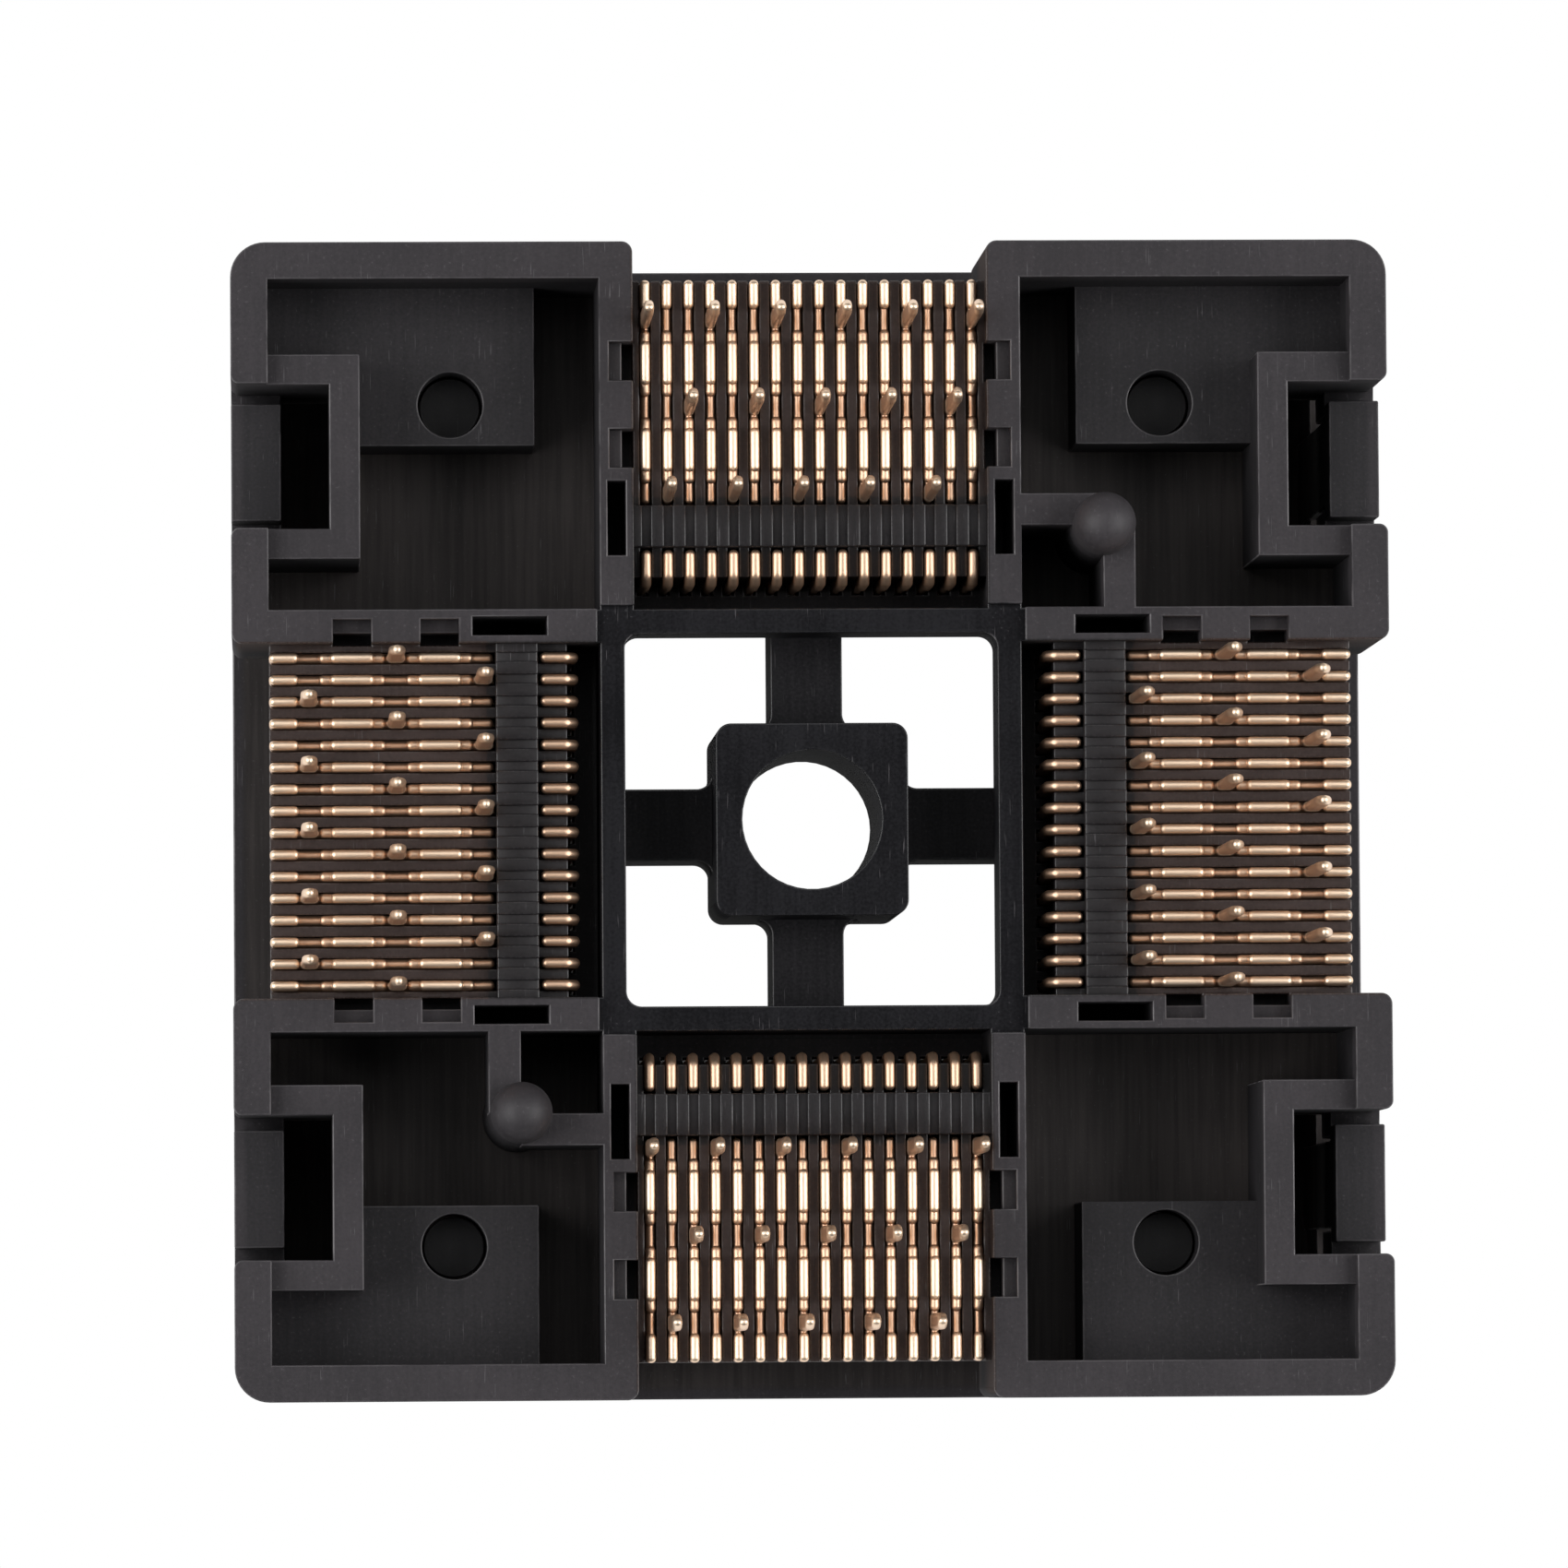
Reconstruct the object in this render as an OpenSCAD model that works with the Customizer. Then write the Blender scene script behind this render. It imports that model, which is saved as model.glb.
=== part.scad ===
// Open-top test socket for a 64-lead quad flat package, lying on its cover.
// The board side with the contact tails looks up, and the side that takes the chip looks down.

/* [Body] */
// Side of the square outline
body_w = 26.5; // [26:0.1:32]
// Radius of the outline's corners
corner_r = 0.8; // [0.3:0.1:2]
// Height of the base from its chip side to the board side
base_h = 5.8; // [5.4:0.1:8]
// Height of the cover
cover_h = 4.0; // [3.6:0.1:6]
// Stroke of the cover towards the base
travel = 2.0; // [1:0.1:2.4]
// Gap left between cover and base when the cover is pressed home
travel_spare = 0.2; // [0.1:0.05:0.6]
// Wall round the base
wall_t = 0.85; // [0.6:0.05:1.2]

/* [Contact rows] */
// Contacts on each side
contact_n = 16; // [12:1:16]
// Distance from one contact to the next
pitch = 0.5; // [0.45:0.01:0.52]
// Thickness of the contact strip
contact_t = 0.22; // [0.12:0.01:0.24]
// Play of a contact in its slot, on each face
slot_play = 0.02; // [0.01:0.01:0.04]
// Floor beside the first and last contact, from contact centre to wall
row_margin = 0.3; // [0.25:0.05:0.5]
// Wall between a contact bank and the corner pockets
bank_wall_t = 0.78; // [0.5:0.02:1]
// Set-back of a bank's outer face behind the outline
bank_setback = 0.85; // [0.4:0.05:1.2]
// Radius of the outline's corners beside a bank
bank_end_r = 0.25; // [0.1:0.05:0.4]
// Distance of the outer tail row from the centre
tail_row = 11.5; // [11.3:0.1:11.6]
// Distance from one tail row to the next
tail_row_step = 2.0; // [1.8:0.1:2.1]
// Length of a tail beyond the board side
tail_l = 2.7; // [1.5:0.1:4]
// Height of a tail's wide root over the recess
tail_root_h = 0.2; // [0.1:0.05:0.5]
// Width of a tail at its root
tail_root_w = 0.42; // [0.4:0.01:0.44]
// Width of a tail
tail_w = 0.38; // [0.3:0.02:0.4]
// Width of a tail at its tip
tail_tip_w = 0.2; // [0.16:0.02:0.28]
// Length of a tail's point
tail_point_l = 0.3; // [0.1:0.05:0.6]

/* [Contact form] */
// Depth of the contact's lands under the board side
land_d = 0.45; // [0.2:0.05:0.8]
// Height of a land over the recess beside it
land_h = 0.35; // [0.2:0.05:0.5]
// Length of the recess at a tail place
recess_l = 0.46; // [0.4:0.02:0.6]
// Length of the stepped shoulder on each side of a recess
shoulder_l = 0.33; // [0.2:0.01:0.4]
// Length of the shoulder's lower step
shoulder_step_l = 0.26; // [0.16:0.01:0.3]
// Radius of the shoulder's steps
shoulder_r = 0.12; // [0.05:0.01:0.14]
// Depth of the base bar below its recesses
bar_h = 0.65; // [0.4:0.05:0.9]
// Free length of a slot at the base bar's inner end
bar_room = 0.05; // [0.02:0.01:0.1]
// Width of the spring strip
spring_w = 0.4; // [0.25:0.05:0.45]
// Depth of the link under the cross rib, to its middle
link_d = 2.0; // [1.8:0.1:2.6]
// Inner end of the head beside the trough, from the centre
head_in = 5.32; // [5.25:0.01:5.4]
// Outer end of the head beside the trough, from the centre
head_out = 6.2; // [6.1:0.01:6.22]
// Length of the head's slope into the trough
head_slope_l = 0.25; // [0.1:0.05:0.4]
// Distance of the lead seat from the centre
seat_r = 5.6; // [5.5:0.05:5.7]
// Height of the lead seat beyond the base's chip side
seat_h = 0.3; // [0.1:0.05:0.6]
// Distance of the spring bow from the centre
bow_at = 8.45; // [8.4:0.05:8.5]
// Radius of the spring bow
bow_r = 1.1; // [0.9:0.05:1.15]
// Straight length between base bar and spring bow
bow_leg_l = 1.0; // [0.8:0.05:1.1]
// Width of the lever and the clamp
lever_w = 0.36; // [0.25:0.01:0.38]
// Distance of the lever's root from the centre
lever_root_r = 8.05; // [8:0.01:8.1]
// Depth of the lever's root beyond the lead seat
lever_root_drop = 0.75; // [0.7:0.05:0.9]
// Distance of the lever's end from the centre
lever_end_r = 9.65; // [9.5:0.05:9.7]
// Depth of the lever's end beyond the lead seat
lever_end_drop = 0.15; // [0.1:0.05:0.4]
// Distance of the clamp's bend from the centre
clamp_bend_r = 6.5; // [6.4:0.05:6.7]
// Depth of the clamp's bend beyond the lead seat
clamp_bend_drop = 1.1; // [1:0.05:1.2]
// Distance of the clamp's knee from the centre
clamp_knee_r = 5.8; // [5.7:0.05:5.9]
// Depth of the clamp's knee beyond the lead seat
clamp_knee_drop = 0.85; // [0.8:0.05:0.95]
// Distance of the clamp's tip from the centre
clamp_tip_r = 5.65; // [5.6:0.05:5.7]
// Depth of the clamp's tip beyond the lead seat
clamp_tip_drop = 0.28; // [0.24:0.01:0.4]
// Free length of a slot inside its contact's arm
slot_room_in = 0.04; // [0.02:0.01:0.06]
// Free length of a slot outside its contact's bow
slot_room_out = 0.15; // [0.1:0.05:0.3]

/* [Board side] */
// Depth of the ribs between the contacts
comb_d = 0.75; // [0.5:0.05:1.2]
// Depth of the corner pockets
pocket_d = 5.0; // [4:0.1:5.2]
// Depth of the raised seat in a pocket's outer corner
seat_block_d = 2.5; // [1.5:0.1:3.5]
// Inner end of the raised seat, from the centre
seat_block_x = 6.25; // [5.6:0.05:6.8]
// Inner side of the raised seat, from the centre
seat_block_y = 8.75; // [8:0.05:8.85]
// Depth of the cross rib's face below the board side
cross_rib_d = 0.3; // [0.1:0.05:0.6]
// Height of the cross rib
cross_rib_h = 1.2; // [0.8:0.1:1.3]
// Inner side of the cross rib, from the centre
cross_rib_in = 6.26; // [6.22:0.01:6.4]
// Width of the shallow grooves in the cross rib's face
groove_w = 0.2; // [0.1:0.02:0.3]
// Depth of the shallow grooves in the cross rib's face
groove_d = 0.1; // [0.05:0.05:0.3]
// Outer edge of the trough, from the centre
trough_r = 5.58; // [5.4:0.02:5.8]
// Depth of the trough
trough_d = 3.8; // [3:0.1:4.2]
// Width of the two notches beside a bank, level with the lands
notch_w = 0.55; // [0.3:0.05:0.6]
// Width of the notches' deep part
notch_deep_w = 0.25; // [0.1:0.05:0.28]
// Depth of the notches' deep part
notch_deep_d = 1.6; // [1:0.1:3]
// Distance of the deep slot beside a bank from the centre
deep_slot_r = 6.9; // [6.8:0.05:7]
// Length of the deep slot
deep_slot_l = 1.7; // [1:0.1:1.8]
// Width of the deep slot
deep_slot_w = 0.42; // [0.3:0.02:0.46]
// Depth of the deep slot
deep_slot_d = 4.4; // [3:0.1:4.6]
// Half width of the square window
window_half = 4.27; // [4:0.01:4.3]
// Half width of the window below its ledge
window_low_half = 4.5; // [4.3:0.01:4.6]
// Depth of the window's ledge
window_ledge_d = 2.2; // [1:0.1:3]
// Radius of the window's corners
window_r = 0.35; // [0.2:0.05:0.8]
// Width of the four arms
arm_w = 1.65; // [1:0.05:2.4]
// Depth of the arms
arm_d = 2.9; // [1.5:0.1:4]
// Side of the square hub
hub_w = 4.4; // [4:0.1:5]
// Depth of the window frame and the hub below the board side
frame_d = 0.25; // [0.05:0.05:1]
// Outer side of the window frame, from the centre
frame_half = 4.9; // [4.85:0.01:5.2]
// Bore of the hub
hub_bore_d = 3.2; // [2:0.1:3.4]
// Hub's reach beyond the base's chip side
hub_h = 0.2; // [0.1:0.05:0.5]
// Half width of the chip's place between the corner guides
chip_half = 5.1; // [5.05:0.01:5.2]
// Wall of a corner guide
guide_t = 0.8; // [0.5:0.05:1]
// Length of a corner guide's arms
guide_l = 1.3; // [1.1:0.1:1.4]
// Height of the corner guides
guide_h = 1.8; // [1:0.1:1.8]

/* [Pegs and ribs] */
// Diameter of the two locating pegs
peg_d = 1.4; // [1:0.1:1.8]
// Diameter of a peg at its foot on the pocket's floor
peg_foot_d = 1.6; // [1.5:0.02:1.9]
// Distance of a peg from the centre along X and along Y
peg_at = 6.7; // [6.4:0.05:7]
// Straight length of a peg beyond the board side
peg_l = 0.8; // [0.5:0.1:1.5]
// Width of the ribs that hold a peg
peg_rib_w = 0.74; // [0.5:0.02:1]

/* [Latches and springs] */
// Distance of a latch from the centre line
latch_y = 8.36; // [8.2:0.02:8.5]
// Width of a latch's head
latch_head_w = 2.7; // [2.2:0.1:2.8]
// Width of a latch's leg
latch_leg_w = 2.0; // [1.6:0.1:2.2]
// Thickness of a latch
latch_t = 1.15; // [0.8:0.05:1.3]
// Play beside a latch's head
latch_head_play = 0.3; // [0.1:0.05:0.35]
// Play beside a latch's leg
latch_leg_play = 0.1; // [0.05:0.01:0.15]
// Depth of a latch's end below the board side
latch_end_d = 2.2; // [2.1:0.1:2.8]
// Height of a latch's head
latch_head_h = 1.3; // [0.8:0.1:1.6]
// Radius of the wall's ends beside a latch
well_end_r = 0.2; // [0.1:0.05:0.6]
// Free space behind a latch
latch_space = 1.1; // [0.8:0.05:1.2]
// Wall of the bracket round a latch
bracket_t = 0.7; // [0.5:0.05:0.8]
// Depth of the bracket below the board side
bracket_d = 0.4; // [0.1:0.1:1]
// Guide post diameter
post_d = 1.4; // [1:0.05:1.45]
// Play round a guide post, in radius
post_play = 0.05; // [0.02:0.01:0.1]
// Guide post place along X
post_x = 8.2; // [7.8:0.05:8.3]
// Guide post place along Y
post_y = 9.7; // [9.6:0.05:9.8]
// Depth of a guide post's end in its hole at rest
post_end_d = 1.0; // [0.3:0.1:2]
// Coil spring place along X
coil_x = 10.0; // [9.95:0.01:10.05]
// Coil spring place along Y
coil_y = 11.05; // [11:0.01:11.2]
// Outer diameter of a coil spring
coil_d = 2.1; // [1.8:0.05:2.15]
// Wire of a coil spring
coil_wire = 0.3; // [0.2:0.02:0.34]
// Turns of a coil spring
coil_turns = 9; // [6:1:10]
// Play round a coil spring in its pocket, in radius
coil_play = 0.1; // [0.05:0.01:0.12]
// Play of a coil spring round its boss, in radius
boss_play = 0.15; // [0.1:0.05:0.2]
// Height of a coil spring's boss
boss_h = 0.9; // [0.4:0.1:1]
// Roof over a coil spring
coil_roof_t = 0.8; // [0.5:0.1:1.5]

/* [Cover] */
// Half width of the cover's opening
opening_half = 7.2; // [6.8:0.1:7.4]
// Chamfer round the opening on the outside
opening_chamfer = 0.7; // [0.2:0.1:1]
// Thickness of the cover's plate
plate_t = 1.2; // [0.8:0.1:1.6]
// Thickness of the cover's skirt
skirt_t = 1.1; // [0.7:0.05:1.1]
// Radius of the skirt's inner corners
skirt_r = 0.3; // [0.1:0.1:0.6]
// Thickness of the rim round the opening
rim_t = 1.0; // [0.6:0.1:1.1]
// Height of the rim round the opening
rim_h = 2.2; // [1.4:0.1:2.3]
// Distance of the cam from the centre
cam_r = 9.45; // [9.3:0.05:9.5]
// Thickness of the cam
cam_t = 0.9; // [0.6:0.05:1]
// Reach of a cam beyond its row of contacts
cam_reach = 0.1; // [0.05:0.05:0.2]
// Gap from the cam to the contact levers at rest
cam_gap = 0.05; // [0.03:0.01:0.15]
// Play round the cam in the base's groove
cam_play = 0.3; // [0.2:0.05:0.35]
// Room over the cam in the groove when the cover is pressed home
cam_room = 0.65; // [0.3:0.05:0.7]

/* [Hidden] */
SIDES = ["north", "west", "south", "east"];
SIDE_PHASE = [0, 2, 1, 2];
ROWS = ["outer", "inner", "middle"];
GROUPS = ["a", "b", "c"];
CORNERS = [[1, 1, "north_east"], [-1, 1, "north_west"], [-1, -1, "south_west"], [1, -1, "south_east"]];
CONTACT_NODES = [for (s = SIDES, r = ROWS, g = GROUPS) str(s, "_", r, "_contacts_", g)];
SPRING_NODES = [for (c = CORNERS) str(c[2], "_spring")];

$fn = 48;
over = 0.5;
lap = 0.01;
root_l = 0.2;

base_z = cover_h + travel + travel_spare;
board_z = base_z + base_h;
half = body_w / 2;

bank_half = pitch * (contact_n - 1) / 2 + row_margin;
pocket_in = bank_half + bank_wall_t;
pocket_out = half - wall_t;
pocket_z = board_z - pocket_d;
bank_out = half - bank_setback;
slot_w = contact_t + 2 * slot_play;

land_z = board_z - land_d;
recess_z = land_z - land_h;
bar_z = recess_z - bar_h;
bar_in = tail_row - 2 * tail_row_step - recess_l / 2;
shoulder_mid = land_h / 2;
land_half = (tail_row_step - recess_l) / 2;
notch_half = land_half - shoulder_l;

// Heights of the contact's chip side
seat_z = base_z - seat_h;
link_z = board_z - link_d;
link_out = bar_in + spring_w / 2;
arm_root_z = bar_z + root_l;
lever_root = [lever_root_r, seat_z - lever_root_drop];
lever_end = [lever_end_r, seat_z - lever_end_drop];
clamp_bend = [clamp_bend_r, seat_z - clamp_bend_drop];
clamp_knee = [clamp_knee_r, seat_z - clamp_knee_drop];
clamp_tip = [clamp_tip_r, seat_z - clamp_tip_drop];
bow_c = [bow_at, bar_z - bow_leg_l - bow_r];
neck_r = bow_at - lever_root_r;

slot_in = seat_r - spring_w / 2 - slot_room_in;
slot_out = bow_at + bow_r + spring_w / 2 + slot_room_out;

cam_slope = atan2(lever_end[1] - lever_root[1], lever_end[0] - lever_root[0]);
cam_lever_z = lever_root[1] + tan(cam_slope) * (cam_r - lever_root[0]);
cam_top_z = cam_lever_z - (lever_w / 2 + cam_gap + cam_t / 2) / cos(cam_slope) + cam_t / 2;
cam_half = bank_half + cam_reach;

latch_end_z = board_z - latch_end_d;
latch_step_z = latch_end_z - latch_head_h;
latch_in = half - latch_t;
well_half = latch_head_w / 2 + latch_head_play;
ledge_half = latch_leg_w / 2 + latch_leg_play;
well_in = latch_in - latch_space;

coil_top_z = board_z - seat_block_d - coil_roof_t;
coil_pocket_d = coil_d + 2 * coil_play;

plastic = [0.13, 0.13, 0.14];
cover_plastic = [0.11, 0.11, 0.12];
gold = [0.85, 0.66, 0.36];
steel = [0.7, 0.71, 0.73];

// A plan drawn in X and Y, raised from one height to another
module slab(z0, z1) translate([0, 0, z0]) linear_extrude(z1 - z0) children();

// A rectangle given by its limits
module rect(x0, x1, y0, y1) translate([x0, y0]) square([x1 - x0, y1 - y0]);

// A square about the centre with round corners
module round_square(w, r) {
    square([w, w - 2 * r], center = true);
    square([w - 2 * r, w], center = true);
    for (x = [-1, 1], y = [-1, 1]) translate([x, y] * (w / 2 - r)) circle(r);
}

// The corner between the X and Y axes, filled up to a quarter circle
module fillet(r) difference() {
    translate([-lap, -lap]) square(r + lap);
    translate([r, r]) circle(r);
}

// Copies its children to the four sides, drawn for the north side
module each_side() for (i = [0:3]) rotate(90 * i) children();

// Copies its children to the four corners, drawn for the north-east corner
module corner(x, y) mirror([x < 0 ? 1 : 0, 0, 0]) mirror([0, y < 0 ? 1 : 0, 0]) children();
module each_corner() for (c = CORNERS) corner(c[0], c[1]) children();

// A straight strip with round ends
module strip(a, b, w) {
    d = b - a;
    translate(a) rotate(atan2(d[1], d[0])) {
        translate([0, -w / 2]) square([norm(d), w]);
        circle(w / 2);
        translate([norm(d), 0]) circle(w / 2);
    }
}

// Part of a ring, from one angle to an angle up to 180 degrees further on
module arc_strip(c, r, w, from, sweep) translate(c) intersection() {
    difference() {
        circle(r + w / 2);
        circle(r - w / 2);
    }
    intersection() {
        rotate(from) translate([-2 * r, 0]) square([4 * r, 2 * r]);
        rotate(from + sweep - 180) translate([-2 * r, 0]) square([4 * r, 2 * r]);
    }
}

// Contact strip

function row_r(row) = tail_row - [0, 2, 1][row] * tail_row_step;

function land_r(i) = tail_row - (i + 1 / 2) * tail_row_step;

// A block from below the recess floor up to height h over it, with round upper corners
module step_block(x0, x1, h) {
    r = min(shoulder_r, h - lap);
    rect(x0, x1, recess_z - bar_h / 2, recess_z + h - r);
    rect(x0 + r, x1 - r, recess_z - bar_h / 2, recess_z + h);
    for (x = [x0 + r, x1 - r]) translate([x, recess_z + h - r]) circle(r);
}

// A land with its stepped shoulders, between two tail places
module land(x0, x1) {
    step_block(x0, x1, shoulder_mid);
    step_block(x0 + shoulder_step_l, x1 - shoulder_step_l, land_h);
}

module tail_outline(r) {
    tip_z = board_z + tail_l - tail_tip_w / 2;
    polygon([
        [r - tail_root_w / 2, recess_z - bar_h / 2],
        [r + tail_root_w / 2, recess_z - bar_h / 2],
        [r + tail_root_w / 2, recess_z + tail_root_h],
        [r + tail_w / 2, board_z],
        [r + tail_w / 2, tip_z - tail_point_l],
        [r + tail_tip_w / 2, tip_z],
        [r - tail_tip_w / 2, tip_z],
        [r - tail_w / 2, tip_z - tail_point_l],
        [r - tail_w / 2, board_z],
        [r - tail_root_w / 2, recess_z + tail_root_h]
    ]);
    translate([r, tip_z]) circle(tail_tip_w / 2);
}

// Upper end of the inner arm, which slopes into the trough
module head_outline() {
    knee = head_in + head_slope_l;
    polygon([[head_in, link_z], [head_out, link_z], [head_out, land_z - shoulder_r],
             [head_out - shoulder_r, land_z], [knee, land_z], [head_in, land_z - head_slope_l]]);
    translate([head_out - shoulder_r, land_z - shoulder_r]) circle(shoulder_r);
}

// The strip seen from its face: X is the distance from the centre, Y the height
module contact_outline(row) {
    rect(bar_in, bank_out, bar_z, recess_z);
    step_block(tail_row + recess_l / 2, bank_out, land_h);
    for (i = [0, 1]) land(land_r(i) - land_half, land_r(i) + land_half);
    tail_outline(row_r(row));

    // Link under the cross rib, head beside the trough and lead seat below it
    strip([link_out, arm_root_z], [link_out, link_z], spring_w);
    strip([link_out, link_z], [seat_r, link_z], spring_w);
    head_outline();
    strip([seat_r, link_z], [seat_r, seat_z + spring_w / 2], spring_w);

    // Spring bow and neck
    strip([bow_at, arm_root_z], [bow_at, bow_c[1] + bow_r], spring_w);
    arc_strip(bow_c, bow_r, spring_w, -90, 180);
    arc_strip(bow_c - [0, bow_r + neck_r], neck_r, spring_w, 90, 90);
    strip([lever_root_r, bow_c[1] - bow_r - neck_r], lever_root, spring_w);

    // Lever and clamp
    strip(lever_root, lever_end, lever_w);
    strip(lever_root, clamp_bend, lever_w);
    strip(clamp_bend, clamp_knee, lever_w);
    strip(clamp_knee, clamp_tip, lever_w);
}

// Contacts of one side and tail row that belong to one group of neighbours
module contact_group(side, row, group) {
    members = [for (i = [0:contact_n - 1]) if ((i + SIDE_PHASE[side]) % 3 == row) i];
    share = ceil(len(members) / len(GROUPS));
    color(gold) rotate(90 * side)
        for (k = [group * share:1:min((group + 1) * share, len(members)) - 1])
            translate([(members[k] - (contact_n - 1) / 2) * pitch - contact_t / 2, 0, 0])
                rotate([90, 0, 90]) linear_extrude(contact_t) contact_outline(row);
}

// Base housing

module body_plan() difference() {
    round_square(body_w, corner_r);
    each_side() {
        rect(-bank_half, bank_half, bank_out, half + over);
        for (s = [0, 1]) mirror([s, 0]) translate([bank_half, half]) mirror([0, 1]) fillet(bank_end_r);
    }
}

module pocket_plan() rect(pocket_in, pocket_out, pocket_in, pocket_out);

module seat_block_plan() rect(seat_block_x, pocket_out + lap, seat_block_y, pocket_out + lap);

module bracket_plan() translate([0, latch_y])
    rect(well_in - bracket_t, pocket_out + lap, -well_half - bracket_t, well_half + bracket_t);

module well_plan() rect(well_in, half + over, latch_y - well_half, latch_y + well_half);

module well_end_plan() translate([half, latch_y])
    for (s = [0, 1]) mirror([0, s]) translate([0, well_half]) mirror([1, 0]) fillet(well_end_r);

module ledge_plan() for (s = [-1, 1])
    translate([0, latch_y + s * (ledge_half + well_half) / 2])
        rect(latch_in, half, -(well_half - ledge_half) / 2 - lap, (well_half - ledge_half) / 2 + lap);

module peg_rib_plan() {
    rect(pocket_in - lap, peg_at, peg_at, peg_at + peg_rib_w);
    rect(peg_at, peg_at + peg_rib_w, pocket_in - lap, peg_at);
}

module peg() translate([peg_at, peg_at, pocket_z - lap]) rotate_extrude() intersection() {
    foot_l = board_z - pocket_z + lap;
    peg_top = foot_l + peg_l;
    union() {
        polygon([[0, 0], [peg_foot_d / 2, 0], [peg_d / 2, foot_l], [peg_d / 2, peg_top], [0, peg_top]]);
        translate([0, peg_top]) circle(peg_d / 2);
    }
    square([peg_d, peg_top + peg_d / 2 - lap]);
}

module slot_plan(r0, r1) rect(-slot_w / 2, slot_w / 2, r0, r1);

// Cuts of one bank, drawn for the north side
module bank_cuts() {
    cross_rib_out = bar_in - bar_room;
    // Ribs between the contacts, on both sides of the cross rib
    slab(board_z - comb_d, board_z + over) {
        rect(-bank_half, bank_half, cross_rib_out, half + over);
        rect(-bank_half, bank_half, trough_r - lap, cross_rib_in);
    }
    // Face of the cross rib, and the trough
    slab(board_z - cross_rib_d, board_z + over)
        rect(-bank_half, bank_half, cross_rib_in - lap, cross_rib_out + lap);
    slab(board_z - trough_d, board_z + over) rect(-bank_half, bank_half, pocket_in, trough_r);
    // Groove for the cam
    slab(base_z - over, cam_top_z + travel + cam_room)
        translate([0, cam_r]) square(2 * [cam_half + cam_play, cam_t / 2 + cam_play], center = true);
    for (i = [0:contact_n - 1]) translate([(i - (contact_n - 1) / 2) * pitch, 0, 0]) {
        slab(base_z - over, board_z - cross_rib_d - cross_rib_h) slot_plan(slot_in, slot_out);
        slab(base_z, board_z + over) {
            slot_plan(slot_in, cross_rib_in);
            slot_plan(cross_rib_out, slot_out);
        }
        slab(bar_z, board_z + over) slot_plan(cross_rib_out, half + over);
        slab(board_z - cross_rib_d - groove_d, board_z + over)
            rect(-groove_w / 2, groove_w / 2, cross_rib_in - lap, cross_rib_out + lap);
    }
    for (s = [0, 1]) mirror([s, 0, 0]) {
        // Two stepped notches in the side wall, level with the lands
        for (i = [0, 1]) translate([bank_half - lap, land_r(i) - notch_half]) {
            slab(board_z - land_d, board_z + over) square([notch_w + lap, 2 * notch_half]);
            slab(board_z - notch_deep_d, board_z + over) square([notch_deep_w + lap, 2 * notch_half]);
        }
        // Deep slot beside the cross rib
        slab(board_z - deep_slot_d, board_z + over) translate([bank_half + bank_wall_t / 2, deep_slot_r])
            square([deep_slot_w, deep_slot_l], center = true);
    }
}

module window_plan(w) round_square(w, window_r);

module hub_plan() {
    round_square(hub_w, window_r);
    for (i = [0:3]) rotate(90 * i) {
        translate([arm_w / 2, hub_w / 2]) fillet(window_r);
        translate([-arm_w / 2, hub_w / 2]) mirror([1, 0]) fillet(window_r);
    }
}

module arm_plan() intersection() {
    union() {
        square([arm_w, 2 * half], center = true);
        square([2 * half, arm_w], center = true);
    }
    square(2 * (window_low_half + lap), center = true);
}

// L-shaped guide for a corner of the chip, on the chip side
module chip_guide_plan() let(out = chip_half + guide_t, end = out - guide_l) difference() {
    rect(end, out, end, out);
    rect(end - over, chip_half, end - over, chip_half);
}

module base_housing() color(plastic) difference() {
    union() {
        difference() {
            slab(base_z, board_z) body_plan();
            each_corner() slab(pocket_z, board_z + over) pocket_plan();
            slab(board_z - frame_d, board_z + over) square(2 * frame_half, center = true);
            slab(board_z - window_ledge_d, board_z + over) window_plan(2 * window_half);
            slab(base_z - over, board_z - window_ledge_d + lap) window_plan(2 * window_low_half);
            each_side() bank_cuts();
        }
        each_corner() {
            slab(pocket_z - lap, board_z - seat_block_d) seat_block_plan();
            slab(pocket_z - lap, board_z - bracket_d) bracket_plan();
            slab(base_z - guide_h, base_z + lap) chip_guide_plan();
        }
        for (s = [1, -1]) corner(s, s) {
            slab(pocket_z - lap, board_z) peg_rib_plan();
            peg();
        }
        slab(base_z - hub_h, board_z - frame_d) round_square(hub_w, window_r);
        slab(base_z, board_z - arm_d) {
            arm_plan();
            hub_plan();
        }
    }
    each_corner() {
        difference() {
            slab(base_z - over, board_z + over) well_plan();
            slab(base_z - 2 * over, latch_step_z) ledge_plan();
        }
        slab(latch_step_z, board_z + over) well_end_plan();
        translate([post_x, post_y, base_z - over])
            cylinder(d = post_d + 2 * post_play, h = base_h + 2 * over);
        translate([coil_x, coil_y, base_z - over])
            cylinder(d = coil_pocket_d, h = coil_top_z - base_z + over);
    }
    translate([0, 0, base_z - hub_h - over]) cylinder(d = hub_bore_d, h = base_h + hub_h + 2 * over);
}

// Cover

module cam() translate([-cam_half, 0, 0]) rotate([90, 0, 90]) linear_extrude(2 * cam_half) {
    rect(cam_r - cam_t / 2, cam_r + cam_t / 2, plate_t - lap, cam_top_z - cam_t / 2);
    translate([cam_r, cam_top_z - cam_t / 2]) circle(cam_t / 2);
}

module latch() {
    slab(plate_t - lap, latch_end_z)
        rect(latch_in, half, latch_y - latch_leg_w / 2, latch_y + latch_leg_w / 2);
    slab(latch_step_z, latch_end_z)
        rect(latch_in, half, latch_y - latch_head_w / 2, latch_y + latch_head_w / 2);
}

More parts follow.
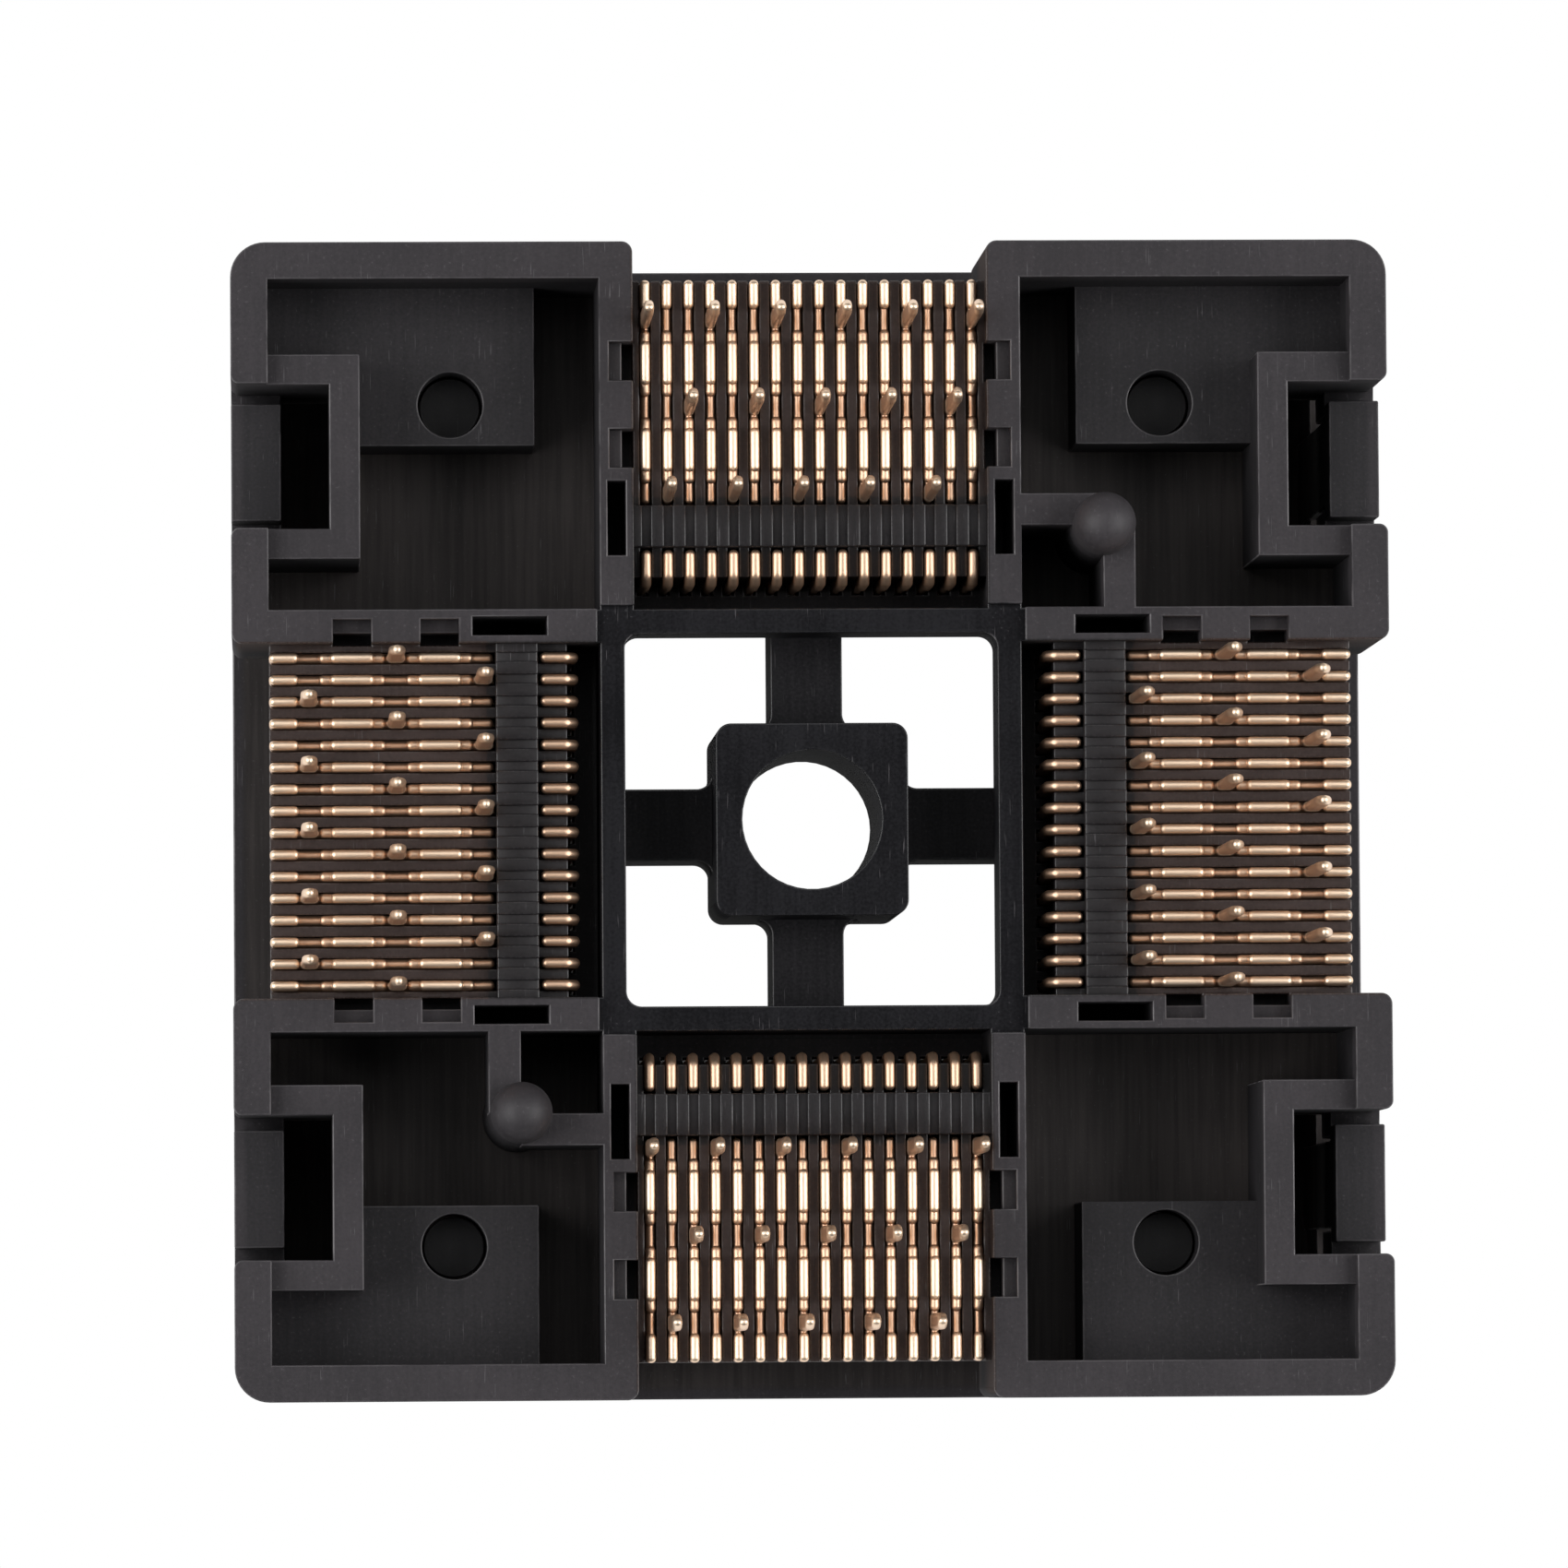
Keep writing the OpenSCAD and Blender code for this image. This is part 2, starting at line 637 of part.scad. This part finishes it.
module opening_chamfer_cut() rotate(45)
    cylinder(d1 = 2 * sqrt(2) * (opening_half + opening_chamfer), d2 = 2 * sqrt(2) * opening_half,
             h = opening_chamfer, $fn = 4);

module cover() color(cover_plastic) {
    difference() {
        slab(0, cover_h) round_square(body_w, corner_r);
        slab(plate_t, cover_h + over) round_square(body_w - 2 * skirt_t, skirt_r);
        slab(-over, plate_t + over) square(2 * opening_half, center = true);
        opening_chamfer_cut();
    }
    difference() {
        slab(plate_t - lap, rim_h) square(2 * (opening_half + rim_t), center = true);
        slab(-over, rim_h + over) square(2 * opening_half, center = true);
    }
    each_side() cam();
    each_corner() {
        latch();
        translate([post_x, post_y, plate_t - lap])
            cylinder(d = post_d, h = board_z - seat_block_d - post_end_d - plate_t + lap);
        translate([coil_x, coil_y, plate_t - lap])
            cylinder(d = coil_d - 2 * (coil_wire + boss_play), h = boss_h + lap);
    }
}

// Coil springs

coil_steps = 14;
coil_sides = 6;
coil_end_turns = 1;

// Height of the wire's centre after a number of turns: the first and last turn lie flat
function coil_rise(t, len) = let(
    free = len - 3 * coil_wire,
    body_turns = coil_turns - 2 * coil_end_turns,
    u = min(max((t - coil_end_turns) / body_turns, 0), 1),
    lay = min(t, coil_end_turns) + max(t - coil_turns + coil_end_turns, 0)
) coil_wire / 2 + lay * coil_wire + u * free;

module coil_spring(len) {
    mean_r = (coil_d - coil_wire) / 2;
    n = coil_turns * coil_steps;
    rings = [for (i = [0:n], j = [0:coil_sides - 1]) let(
        a = 360 * i / coil_steps,
        b = 360 * j / coil_sides,
        z = coil_rise(i / coil_steps, len),
        r = mean_r + coil_wire / 2 * cos(b)
    ) [r * cos(a), r * sin(a), z + coil_wire / 2 * sin(b)]];
    sides = [for (i = [0:n - 1], j = [0:coil_sides - 1]) let(k = (j + 1) % coil_sides)
        [i * coil_sides + j, (i + 1) * coil_sides + j, (i + 1) * coil_sides + k, i * coil_sides + k]];
    first = [for (j = [0:coil_sides - 1]) j];
    last = [for (j = [coil_sides - 1:-1:0]) n * coil_sides + j];
    polyhedron(rings, concat(sides, [first, last]), convexity = 10);
}

module corner_spring(x, y) color(steel)
    translate([x * coil_x, y * coil_y, plate_t]) coil_spring(coil_top_z - plate_t);

base_housing();
cover();
for (c = CORNERS) corner_spring(c[0], c[1]);
for (s = [0:3], r = [0:2], g = [0:2])
    contact_group(s, r, g);
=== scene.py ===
# Open-top test socket for a quad flat package, seen from its board side.
# It lies on its cover, with the contact tails towards the camera.
from math import pi, radians

import bmesh
import bpy
from mathutils import Matrix, Vector


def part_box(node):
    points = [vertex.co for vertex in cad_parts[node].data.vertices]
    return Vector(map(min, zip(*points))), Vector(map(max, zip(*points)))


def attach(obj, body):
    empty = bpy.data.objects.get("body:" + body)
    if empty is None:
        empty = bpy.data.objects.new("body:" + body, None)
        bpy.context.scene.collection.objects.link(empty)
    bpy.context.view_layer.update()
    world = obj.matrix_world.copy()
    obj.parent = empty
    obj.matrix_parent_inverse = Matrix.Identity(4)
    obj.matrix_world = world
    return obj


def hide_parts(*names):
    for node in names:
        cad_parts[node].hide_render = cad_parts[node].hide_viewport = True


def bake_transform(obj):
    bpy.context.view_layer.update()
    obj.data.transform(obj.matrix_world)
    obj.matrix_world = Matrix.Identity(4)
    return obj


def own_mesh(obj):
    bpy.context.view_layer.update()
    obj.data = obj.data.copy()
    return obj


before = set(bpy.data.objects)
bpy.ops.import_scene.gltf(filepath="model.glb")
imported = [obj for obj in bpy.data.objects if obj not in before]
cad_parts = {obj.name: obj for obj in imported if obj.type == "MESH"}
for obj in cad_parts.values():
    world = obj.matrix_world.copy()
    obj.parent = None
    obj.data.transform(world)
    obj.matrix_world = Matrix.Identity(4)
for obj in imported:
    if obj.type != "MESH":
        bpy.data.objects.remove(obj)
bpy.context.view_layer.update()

# Base housing.
# One moulding in black, glass-filled plastic. Its ribs and pockets have small round edges
# from the mould. The edges take a lighter colour: patchy wear, and a painted highlight where
# they face the side lamps.
MM = 0.001
SAME_POINT = 0.0005 * MM
SAME_PLANE = radians(0.5)
SHARP_EDGE = radians(35)
FACE_SLOT, EDGE_SLOT, MIDDLE_SLOT, PEG_SLOT = range(4)


def working_copy(node, name):
    """A copy of a node's solid without materials, its points joined and its flat faces whole."""
    bpy.ops.object.select_all(action="DESELECT")
    piece = bpy.data.objects.new(name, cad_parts[node].data.copy())
    bpy.context.scene.collection.objects.link(piece)
    bpy.context.view_layer.objects.active = piece
    piece.select_set(True)
    bpy.ops.mesh.customdata_custom_splitnormals_clear()
    bpy.ops.object.mode_set(mode="EDIT")
    bpy.ops.mesh.select_all(action="SELECT")
    bpy.ops.mesh.remove_doubles(threshold=SAME_POINT)
    bpy.ops.mesh.dissolve_limited(angle_limit=SAME_PLANE)
    bpy.ops.object.mode_set(mode="OBJECT")
    piece.data.materials.clear()
    return piece


def round_edges(piece, width, segments):
    """Rounds the convex edges of a copy. The new faces take its edge material."""
    bpy.ops.object.mode_set(mode="EDIT")
    bpy.context.tool_settings.mesh_select_mode = (False, True, False)
    bpy.ops.mesh.select_all(action="DESELECT")
    mesh = bmesh.from_edit_mesh(piece.data)
    for edge in mesh.edges:
        edge.select = edge.is_manifold and edge.is_convex and edge.calc_face_angle() > SHARP_EDGE
    bmesh.update_edit_mesh(piece.data)
    bpy.ops.mesh.bevel(offset=width, segments=segments, affect="EDGES", clamp_overlap=False,
                       material=EDGE_SLOT)
    bpy.ops.object.mode_set(mode="OBJECT")
    bpy.ops.object.shade_smooth_by_angle(angle=SHARP_EDGE)
    bpy.ops.object.modifier_add(type="WEIGHTED_NORMAL")
    piece.modifiers[-1].keep_sharp = True
    bpy.ops.object.modifier_apply(modifier=piece.modifiers[-1].name)


class Value:
    """What a node gives out. A sum of values adds the Math nodes that it needs."""

    def __init__(self, tree, output=None):
        self.tree, self.output = tree, output

    def add(self, kind, settings={}, inputs={}, output=0):
        """Adds a node: first its settings, then the values or links of its sockets."""
        node = self.tree.nodes.new("ShaderNode" + kind)
        for name, value in settings.items():
            setattr(node, name, value)
        for socket, value in inputs.items():
            if isinstance(value, Value):
                self.tree.links.new(value.output, node.inputs[socket])
            else:
                node.inputs[socket].default_value = value
        return Value(self.tree, node.outputs[output])

    def maths(self, operation, *terms):
        return self.add("Math", {"operation": operation}, dict(enumerate(terms)))

    def __add__(self, other):
        return self.maths("ADD", self, other)

    def __sub__(self, other):
        return self.maths("SUBTRACT", self, other)

    def __rsub__(self, other):
        return self.maths("SUBTRACT", other, self)

    def __mul__(self, other):
        return self.maths("MULTIPLY", self, other)

    __radd__, __rmul__ = __add__, __mul__

    def __abs__(self):
        return self.maths("ABSOLUTE", self)

    def axis(self, number):
        """One of the three numbers of a vector."""
        return self.add("SeparateXYZ", {}, {0: self}, output=number)

    def clipped(self, low, high):
        """0 below low and 1 above high, with a smooth step between them."""
        smooth_step = {"interpolation_type": "SMOOTHSTEP"}
        return self.add("MapRange", smooth_step, {0: self, 1: low, 2: high})

    def noise(self, size, detail):
        """Cloudy noise whose blobs have about that size in metres."""
        return self.add("TexNoise", {}, {"Vector": self, "Scale": 1 / size, "Detail": detail})

    def mixed(self, a, b):
        """Colour a where this is 0, and colour b where it is 1."""
        return self.add("Mix", {"data_type": "RGBA"}, {"Factor": self, 6: a, 7: b}, output=2)


def new_finish(name):
    """An empty material with its surface shader, and the place on the piece as a value."""
    material = bpy.data.materials.new(name)
    material.use_nodes = True
    place = Value(material.node_tree).add("TexCoord", output="Object")
    return material, material.node_tree.nodes["Principled BSDF"], place


def link(shader, socket, value):
    value.tree.links.new(value.output, shader.inputs[socket])


# Where the plastic's finish, painted shade and painted light change, from the first distance or
# height to the second.
MIDDLE_END = (4.90 * MM, 4.95 * MM)
BANK_END = (4.07 * MM, 4.12 * MM)
COMB_START = (7.40 * MM, 7.45 * MM)
OUTSIDE_START = (12.9 * MM, 13.1 * MM)
LEG_FOOT = (4.3 * MM, 4.5 * MM)
LEG_TOP = (9.2 * MM, 9.5 * MM)
FLOOR_TOP = (7.15 * MM, 7.20 * MM)
BANK_FOOT = (8 * MM, 10 * MM)
ARM_TOP = (9.15 * MM, 9.25 * MM)
SET_BACK_TOP = (11.0 * MM, 11.2 * MM)
PEG_FOOT = 12.05 * MM

# The darkest and the lightest colour of each region.
OUTER_TONES = ((0.027, 0.0245, 0.027, 1), (0.040, 0.0355, 0.039, 1))
SET_BACK_SHADE_TONES = ((0.010, 0.010, 0.011, 1), (0.021, 0.020, 0.022, 1))
FLOOR_PAINTED_LIGHT_TONES = ((0.026, 0.022, 0.021, 1), (0.046, 0.039, 0.037, 1))
BANK_TONES = ((0.010, 0.009, 0.0095, 1), (0.018, 0.016, 0.017, 1))
COMB_TONES = ((0.028, 0.019, 0.017, 1), (0.044, 0.031, 0.028, 1))
MIDDLE_TONES = ((0.006, 0.006, 0.007, 1), (0.015, 0.015, 0.017, 1))
ARM_PAINTED_LIGHT_TONES = ((0.011, 0.011, 0.012, 1), (0.023, 0.022, 0.024, 1))
SCUFF = (0.10, 0.095, 0.10, 1)
# The edge colour stands for patchy wear and a painted highlight together.
WEAR_AND_HIGHLIGHT_COLOUR = (0.16, 0.15, 0.155, 1)
LEG_SHADE = (0.002, 0.002, 0.002, 1)

# The size of each noise. Streaks and scratches are drawn out along Y and less along Z.
CLOUD, PATCH = 3 * MM, 0.8 * MM
GRAIN, STREAK, SCRATCH = 0.07 * MM, 0.12 * MM, 0.035 * MM
DRAWN_OUT = (1, 0.04, 0.2)
GRAIN_HEIGHT = 0.01 * MM


def moulded_plastic(name, wear_and_highlight_share, gloss, legs=0.0):
    """Glass-filled plastic: matt on the outer faces, darker and smoother in the middle, brown
    among the contacts. Set-back faces are darker: painted shade. The pocket floors and the
    middle's low
    arms are lighter again: painted light. How much of it shows the lighter edge colour, patchy
    wear and a painted highlight on faces turned to the side lamps, is set by its wear share;
    legs is how far the latch legs are darkened in their wells: painted shade."""
    material, shader, place = new_finish(name)
    x, y, z = (place.axis(number) for number in range(3))
    normal = place.add("NewGeometry", output="Normal")
    side, up = abs(normal.axis(0)), abs(normal.axis(2))
    from_x, from_y = abs(x), abs(y)
    off_centre = from_x.maths("MAXIMUM", from_x, from_y)
    off_axis = from_x.maths("MINIMUM", from_x, from_y)
    middle = 1 - off_centre.clipped(*MIDDLE_END)
    inside = 1 - off_centre.clipped(*OUTSIDE_START)
    bank = (1 - off_axis.clipped(*BANK_END)) * z.clipped(*BANK_FOOT)
    comb = bank * off_centre.clipped(*COMB_START)
    # Painted light: the pocket floors take lighter tones again, above the set-back shade.
    floor = inside * (1 - z.clipped(*FLOOR_TOP))
    # Painted shade: the faces set back below the board side's rim take darker tones.
    set_back_shade = inside * (1 - z.clipped(*SET_BACK_TOP))
    # Painted light: the low arms in the middle take lighter tones than the middle round them.
    arms_painted_light = middle * (1 - z.clipped(*ARM_TOP))

    cloud = place.noise(CLOUD, 3.0)
    grain = place.noise(GRAIN, 3.0)
    drawn = place.add("VectorMath", {"operation": "MULTIPLY"}, {0: place, 1: DRAWN_OUT})
    streak = drawn.noise(STREAK, 2.0)
    patch = place.noise(PATCH, 2.0)
    scratch = drawn.noise(SCRATCH, 1.0).clipped(0.68, 0.74) * patch.clipped(0.5, 0.62)
    speck = place.noise(GRAIN, 1.0).clipped(0.70, 0.76) * (1 - bank)
    drawn_share = 0.1 + floor * 0.3
    tone = cloud * 0.4 + grain * (0.5 - drawn_share) + streak * (0.1 + drawn_share)
    tone = tone.clipped(0.35, 0.65)

    colour = tone.mixed(*OUTER_TONES)
    for region, share, tones in ((set_back_shade, 0.6, SET_BACK_SHADE_TONES), (floor, 0.9, FLOOR_PAINTED_LIGHT_TONES),
                                 (bank, 0.9, BANK_TONES), (comb, 0.95, COMB_TONES),
                                 (middle, 0.95, MIDDLE_TONES), (arms_painted_light, 0.95, ARM_PAINTED_LIGHT_TONES)):
        colour = (region * share).mixed(colour, tone.mixed(*tones))
    colour = (speck * 0.25 + scratch * 0.6).mixed(colour, SCUFF)
    # Lighter edge colour in patches: partly wear, partly a painted highlight, strongest where
    # the face turns towards ±X and the side lamps.
    wear_and_highlight_mask = wear_and_highlight_share * patch.clipped(0.3, 0.6) * (0.2 + side.clipped(0.2, 0.6) * 0.8)
    wear_and_highlight_mask = wear_and_highlight_mask * (1 - comb) * (1 - bank * 0.92)
    colour = wear_and_highlight_mask.mixed(colour, WEAR_AND_HIGHLIGHT_COLOUR)
    if legs:
        # Painted shade: the latch legs in their wells, and all else of the cover at their
        # height, turn near black.
        leg_shade_mask = z.clipped(*LEG_FOOT) * (1 - z.clipped(*LEG_TOP))
        colour = (leg_shade_mask * legs).mixed(colour, LEG_SHADE)
    link(shader, "Base Color", colour)

    smooth = middle.maths("MAXIMUM", middle, bank * 0.6)
    wall = 1 - up.clipped(0.1, 0.4)
    roughness = 0.55 + (grain - 0.5) * 0.2 - smooth * 0.17 + wall * 0.4 - wear_and_highlight_share * 0.2
    link(shader, "Roughness", roughness)
    relief = {"Strength": 0.3, "Distance": GRAIN_HEIGHT, "Height": grain * (1 - smooth * 0.7)}
    link(shader, "Normal", place.add("Bump", {}, relief))
    shader.inputs["Specular IOR Level"].default_value = gloss
    return material


housing = working_copy("base_housing", "housing")
housing.data.materials.append(moulded_plastic("housing_plastic", wear_and_highlight_share=0.0, gloss=0.2))
housing.data.materials.append(moulded_plastic("housing_edge", wear_and_highlight_share=0.9, gloss=0.4))
housing.data.materials.append(moulded_plastic("housing_middle", wear_and_highlight_share=0.0, gloss=0.045))
housing.data.materials.append(moulded_plastic("housing_peg", wear_and_highlight_share=0.0, gloss=0.35))
round_edges(housing, width=0.035 * MM, segments=2)
for face in housing.data.polygons:
    in_middle = max(abs(face.center.x), abs(face.center.y)) < MIDDLE_END[1]
    if in_middle and face.material_index == FACE_SLOT:
        face.material_index = MIDDLE_SLOT
    elif face.center.z > PEG_FOOT:
        face.material_index = PEG_SLOT
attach(housing, "base")
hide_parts("base_housing")

# Contacts.
# Stamped from copper alloy strip and plated with gold. The strip's edges are rounded by the
# stamping. They are pressed into their slots, and only the lever's free end follows the cover.
LAND_FOOT = (11.25 * MM, 11.55 * MM)
LAND_TOP = (11.65 * MM, 11.85 * MM)
TIP_FOOT = (14.25 * MM, 14.5 * MM)
HEAD_END = (6.7 * MM, 6.9 * MM)
GOLD = (1.0, 0.77, 0.57, 1)
SHADED_GOLD = (0.66, 0.43, 0.29, 1)
PLATING_GRAIN = 0.05 * MM


def plated_metal(name, colour, roughness, shaded_colour=None):
    """Smooth plating. Given a second, darker colour, it takes that where the strip is set back
    in its slot, on the tails below their tips, and in part on the inner heads: painted shade."""
    material, shader, place = new_finish(name)
    grain = place.noise(PLATING_GRAIN, 2.0)
    link(shader, "Roughness", roughness + (grain - 0.5) * 0.1)
    shader.inputs["Base Color"].default_value = colour
    if shaded_colour:
        x, y, z = (place.axis(number) for number in range(3))
        off_centre = x.maths("MAXIMUM", abs(x), abs(y))
        land = z.clipped(*LAND_FOOT) * (1 - z.clipped(*LAND_TOP))
        tip = z.clipped(*TIP_FOOT)
        head = 1 - off_centre.clipped(*HEAD_END)
        # Painted shade: the plating has its full colour on the lands and the tail tips, and the
        # darker colour in the recesses, down the tails and on the inner heads.
        link(shader, "Base Color", ((land + tip) * (1 - head * 0.8)).mixed(shaded_colour, colour))
    shader.inputs["Metallic"].default_value = 1
    return material


gold_plating = plated_metal("gold_plating", GOLD, roughness=0.44, shaded_colour=SHADED_GOLD)
for node in [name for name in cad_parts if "_contacts_" in name]:
    strips = working_copy(node, node.replace("_contacts_", "_strips_"))
    strips.data.materials.append(gold_plating)
    strips.data.materials.append(gold_plating)
    round_edges(strips, width=0.1 * MM, segments=4)
    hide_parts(node)
    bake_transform(strips)

# Coil springs.
# Wound from round spring steel wire, with one closed turn at each end. Each stands on a boss of
# the cover in a blind pocket of the base, and shortens when the cover is pressed.
WIRE = 0.3 * MM
WIRE_SIDES = 10
COIL_R = 0.9 * MM
COIL_FOOT = 1.2 * MM
COIL_TOP = 8.7 * MM
FREE_TURNS = 7
STEPS_A_TURN = 28
SPRING_STEEL = (0.6, 0.6, 0.62, 1)


def coil_turns(turns, rise, foot):
    """Winds round wire up by rise a turn, from the height foot of its middle."""
    bpy.ops.object.select_all(action="DESELECT")
    bpy.ops.mesh.primitive_circle_add(vertices=WIRE_SIDES, radius=WIRE / 2,
                                      location=(COIL_R, 0, foot), rotation=(pi / 2, 0, 0))
    coil = bpy.context.object
    bpy.ops.object.transform_apply()
    bpy.ops.object.modifier_add(type="SCREW")
    screw = coil.modifiers[-1]
    screw.iterations, screw.screw_offset = turns, rise
    screw.steps = screw.render_steps = STEPS_A_TURN
    bpy.ops.object.modifier_apply(modifier=screw.name)
    return coil


free_rise = (COIL_TOP - COIL_FOOT - 3 * WIRE) / FREE_TURNS
low_end = coil_turns(1, WIRE, COIL_FOOT + WIRE / 2)
body = coil_turns(FREE_TURNS, free_rise, COIL_FOOT + 1.5 * WIRE)
top_end = coil_turns(1, WIRE, COIL_TOP - 1.5 * WIRE)
for part in (low_end, body, top_end):
    part.select_set(True)
bpy.context.view_layer.objects.active = body
bpy.ops.object.join()
bpy.ops.object.mode_set(mode="EDIT")
bpy.ops.mesh.select_all(action="SELECT")
bpy.ops.mesh.remove_doubles(threshold=0.01 * MM)
bpy.ops.mesh.fill_holes(sides=0)
bpy.ops.mesh.normals_make_consistent(inside=False)
bpy.ops.object.mode_set(mode="OBJECT")
bpy.ops.object.shade_smooth_by_angle(angle=radians(50))
body.data.materials.append(plated_metal("spring_wire", SPRING_STEEL, roughness=0.3))
for node in [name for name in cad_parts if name.endswith("_spring")]:
    low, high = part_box(node)
    axis_x, axis_y = (low[0] + high[0]) / 2, (low[1] + high[1]) / 2
    coil = body.copy()
    coil.data = body.data.copy()
    coil.name = node.replace("_spring", "_coil")
    bpy.context.scene.collection.objects.link(coil)
    coil.data.transform(Matrix.Translation((axis_x, axis_y, 0)))
    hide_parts(node)
    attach(coil, "base")
    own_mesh(coil)
bpy.data.objects.remove(body)

# Cover.
# The second moulding in the same plastic. It slides on four posts and is held by four latch
# legs, whose T-shaped heads stand in the wells at the left and right edges.
cover = working_copy("cover", "cover_moulding")
cover.data.materials.append(moulded_plastic("cover_plastic", wear_and_highlight_share=0.0, gloss=0.2, legs=0.75))
cover.data.materials.append(moulded_plastic("cover_edge", wear_and_highlight_share=0.9, gloss=0.3, legs=0.75))
round_edges(cover, width=0.04 * MM, segments=2)
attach(cover, "cover")
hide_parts("cover")

# Floor.
# A plain sheet just under the cover. The camera sees it as white round the socket and through
# the window, and as grey in the cover's shade.
SHADE_START = (4.9 * MM, 5.1 * MM)
SHADE_END = (10.5 * MM, 13.2 * MM)
bpy.ops.object.select_all(action="DESELECT")
bpy.ops.mesh.primitive_plane_add(size=1.0, location=(0, 0, -0.02 * MM))
floor = bpy.context.object
floor.name = "floor"
floor_white, shader, place = new_finish("floor_white")
shader.inputs["Base Color"].default_value = (0.8, 0.8, 0.8, 1)
shader.inputs["Roughness"].default_value = 0.9
floor.data.materials.append(floor_white)
glow = place.add("Emission", {}, {"Strength": 1.0})
ray_kinds = ("Is Camera Ray", "Is Glossy Ray", "Is Transmission Ray")
camera_ray, glossy_ray, clear_ray = (place.add("LightPath", output=kind) for kind in ray_kinds)
x, y = place.axis(0), place.axis(1)
off_centre = x.maths("MAXIMUM", abs(x), abs(y))
shade = off_centre.clipped(*SHADE_START) * (1 - off_centre.clipped(*SHADE_END))
glowing = (camera_ray + glossy_ray + clear_ray) * (1 - shade)
painted = Value(place.tree, shader.outputs[0])
white = place.add("MixShader", {}, {0: glowing, 1: painted, 2: glow})
link(floor_white.node_tree.nodes["Material Output"], "Surface", white)

# Light.
# Two soft boxes stand at the left and the right, and look down on the socket. A weaker one
# hangs overhead, and a little light comes from all round.
world = bpy.context.scene.world or bpy.data.worlds.new("world")
bpy.context.scene.world = world
world.use_nodes = True
world.node_tree.nodes["Background"].inputs["Color"].default_value = (0.9, 0.95, 1.0, 1)
world.node_tree.nodes["Background"].inputs["Strength"].default_value = 0.12


def softbox(name, place, size, power):
    """A flat lamp at a place, turned to the socket."""
    lamp = bpy.data.lights.new(name, "AREA")
    lamp.shape = "RECTANGLE"
    lamp.size, lamp.size_y = size
    lamp.energy = power
    holder = bpy.data.objects.new(name, lamp)
    bpy.context.scene.collection.objects.link(holder)
    holder.location = place
    to_socket = Vector((0, 0, 0)) - Vector(place)
    holder.rotation_euler = to_socket.to_track_quat("-Z", "Y").to_euler()


softbox("left_softbox", place=(-0.19, 0.0, 0.17), size=(0.20, 0.20), power=0.56)
softbox("right_softbox", place=(0.19, 0.0, 0.17), size=(0.20, 0.20), power=0.56)
softbox("overhead_softbox", place=(0.0, 0.12, 0.38), size=(0.24, 0.2), power=0.19)

# Camera.
# It looks almost straight down on the board side, from a little to the left of the middle and
# below it in the picture. At the board side the picture is as wide as the photo shows.
EYE = Vector((-12.39 * MM, -12.82 * MM, 287.8 * MM))
AIM = Vector((-0.654 * MM, 0.792 * MM, 12 * MM))
ROLL = radians(0.38)
PHOTO_W = 35.83 * MM
SENSOR_W = 36
camera_data = bpy.data.cameras.new("camera")
camera = bpy.data.objects.new("camera", camera_data)
bpy.context.scene.collection.objects.link(camera)
bpy.context.scene.camera = camera
camera.location = EYE
ahead = (AIM - EYE).normalized()
across = ahead.cross(Vector((0, 1, 0))).normalized()
level = Matrix((across, across.cross(ahead), -ahead)).transposed()
camera.rotation_euler = (Matrix.Rotation(ROLL, 3, ahead) @ level).to_euler()
camera_data.sensor_fit = "HORIZONTAL"
camera_data.sensor_width = SENSOR_W
camera_data.lens = SENSOR_W * (EYE - AIM).length / PHOTO_W
camera_data.clip_start = 0.01
camera_data.clip_end = 10

bpy.context.scene.view_settings.view_transform = "Standard"
